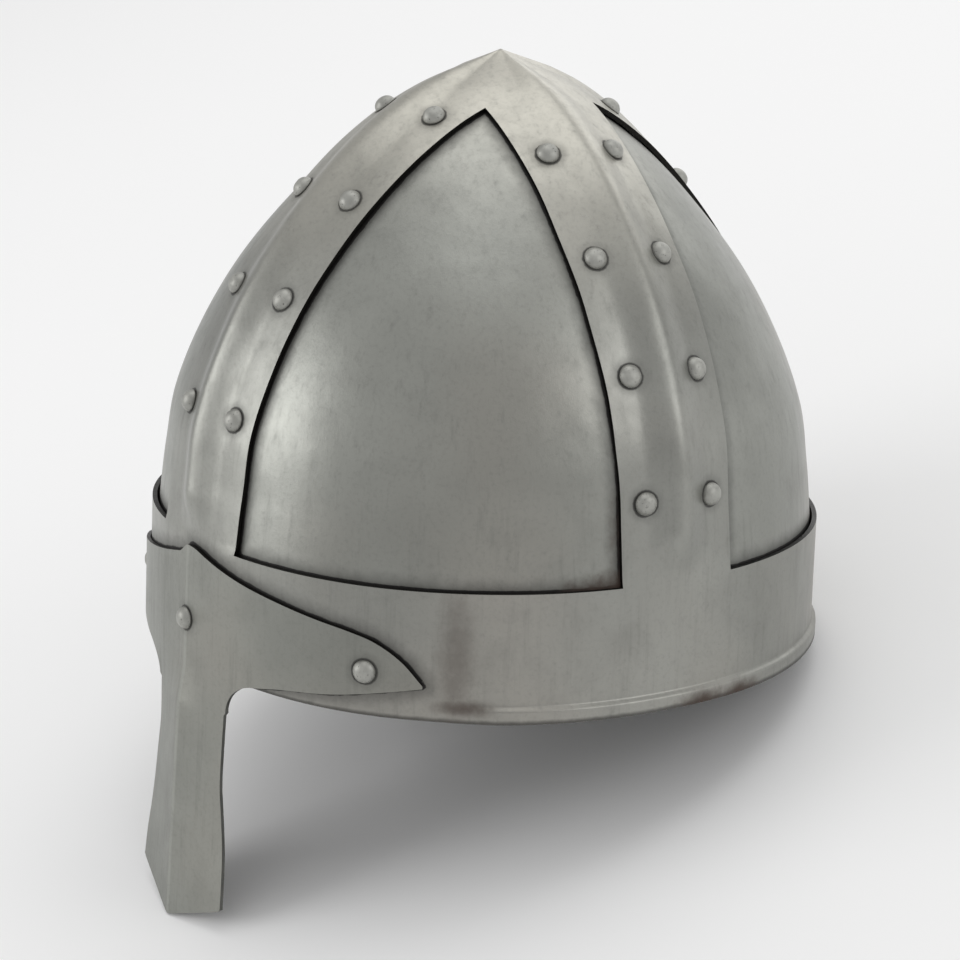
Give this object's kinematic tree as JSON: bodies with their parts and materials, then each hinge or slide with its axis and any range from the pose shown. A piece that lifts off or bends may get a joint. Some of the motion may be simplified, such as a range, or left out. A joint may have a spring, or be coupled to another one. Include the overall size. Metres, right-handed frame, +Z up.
{
  "type": "spangenhelm helmet",
  "caption": "Pointed steel helmet with a riveted brow band, crossed ridged ribs, infill plates and a winged nasal guard, worn to protect the head and nose.",
  "frame": {"origin": "on the ground under the middle of the helmet's bounding box, with the helmet resting on its nasal tip and on the rim at the nape", "axes": "+Z up from the ground, -Y towards the wearer's front, +X towards the wearer's left; the rim is tipped back by 20.4 degrees about X"},
  "size_m": [0.2142, 0.2658, 0.2128],
  "materials": {
    "frame_steel": "satin antiqued steel, dark along the edges",
    "plate_steel": "satin steel, darker beside the frame",
    "nasal_steel": "satin antiqued steel",
    "rivet_steel": "dull pale steel heads"
  },
  "bodies": {
    "root": {"frame": "frame_steel", "plate_front_left": "plate_steel", "plate_front_right": "plate_steel", "plate_rear_left": "plate_steel", "plate_rear_right": "plate_steel", "nasal": "nasal_steel", "rivet_left_a1": "rivet_steel", "rivet_left_a2": "rivet_steel", "rivet_left_a3": "rivet_steel", "rivet_left_a4": "rivet_steel", "rivet_left_b1": "rivet_steel", "rivet_left_b2": "rivet_steel", "rivet_left_b3": "rivet_steel", "rivet_left_b4": "rivet_steel", "rivet_back_a1": "rivet_steel", "rivet_back_a2": "rivet_steel", "rivet_back_a3": "rivet_steel", "rivet_back_a4": "rivet_steel", "rivet_back_b1": "rivet_steel", "rivet_back_b2": "rivet_steel", "rivet_back_b3": "rivet_steel", "rivet_back_b4": "rivet_steel", "rivet_right_a1": "rivet_steel", "rivet_right_a2": "rivet_steel", "rivet_right_a3": "rivet_steel", "rivet_right_a4": "rivet_steel", "rivet_right_b1": "rivet_steel", "rivet_right_b2": "rivet_steel", "rivet_right_b3": "rivet_steel", "rivet_right_b4": "rivet_steel", "rivet_front_a1": "rivet_steel", "rivet_front_a2": "rivet_steel", "rivet_front_a3": "rivet_steel", "rivet_front_a4": "rivet_steel", "rivet_front_b1": "rivet_steel", "rivet_front_b2": "rivet_steel", "rivet_front_b3": "rivet_steel", "rivet_front_b4": "rivet_steel", "rivet_nasal_left": "rivet_steel", "rivet_nasal_middle": "rivet_steel", "rivet_nasal_right": "rivet_steel"}
  },
  "joints": []
}
